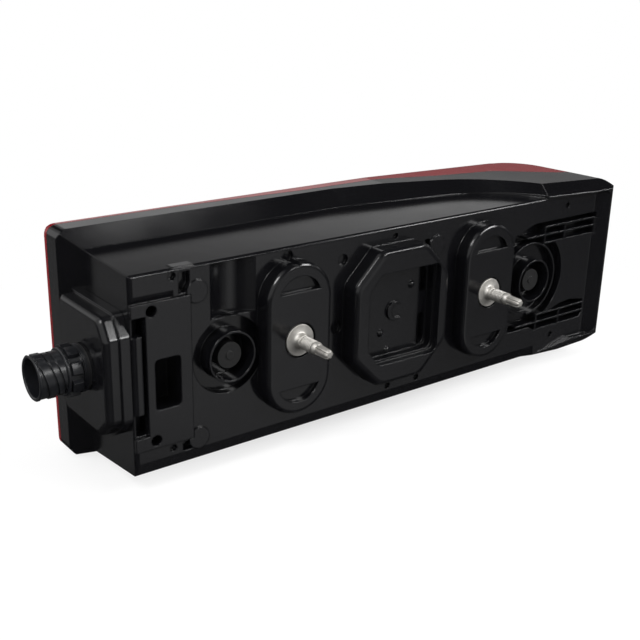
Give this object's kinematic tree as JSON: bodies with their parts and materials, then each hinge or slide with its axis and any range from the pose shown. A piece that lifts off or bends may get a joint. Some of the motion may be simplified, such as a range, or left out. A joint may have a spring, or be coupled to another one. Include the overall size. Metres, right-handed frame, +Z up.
{
  "type": "tail light cluster",
  "caption": "Long rear combination lamp: black moulded housing with stud mounting and a bayonet inlet on its end face, under a red lens that wraps round its far end.",
  "frame": {"origin": "midway between the two mounting studs, in the plane of the stud pads' faces", "axes": "+X along the lamp towards the connector, +Y out of the mounting face along the studs, away from the lens, +Z up on the vehicle"},
  "size_m": [0.4221, 0.123, 0.1345],
  "materials": {
    "housing_black": "satin gloss moulded ABS",
    "connector_black": "semi matt moulded nylon",
    "zinc_steel": "bright zinc plate",
    "pin_brass": "plated contact",
    "seal_rubber": "soft seal",
    "breather_grey": "dark grey moulded plug",
    "lens_red": "polished red acrylic",
    "window_amber": "polished amber acrylic",
    "window_clear": "clear acrylic",
    "reflex_red": "prismatic red acrylic",
    "metallised": "vacuum metallised",
    "board_green": "solder resist",
    "led_white": "diode package",
    "plug_white": "moulded nylon",
    "wire_red": "insulated wire"
  },
  "bodies": {
    "root": {"housing": "housing_black", "terminal_cover": "housing_black", "end_cover": "housing_black", "cover_screws": "zinc_steel", "connector_seal": "seal_rubber", "connector_shell": "connector_black", "locking_ring": "connector_black", "pin_carrier": "connector_black", "contact_pins": "pin_brass", "breather_near": "breather_grey", "breather_far": "breather_grey", "mounting_studs": "zinc_steel", "stud_plates": "zinc_steel", "lens": "lens_red", "lens_sealant": "seal_rubber", "indicator_window": "window_amber", "reversing_window": "window_clear", "retro_reflector": "reflex_red", "reflector": "metallised", "main_board": "board_green", "end_board": "board_green", "tail_leds": "led_white", "stop_leds": "led_white", "fog_leds": "led_white", "indicator_leds": "led_white", "reversing_leds": "led_white", "marker_leds": "led_white", "driver_module": "housing_black", "board_plug": "plug_white", "wiring_loom": "wire_red", "board_screws": "zinc_steel"}
  },
  "joints": []
}
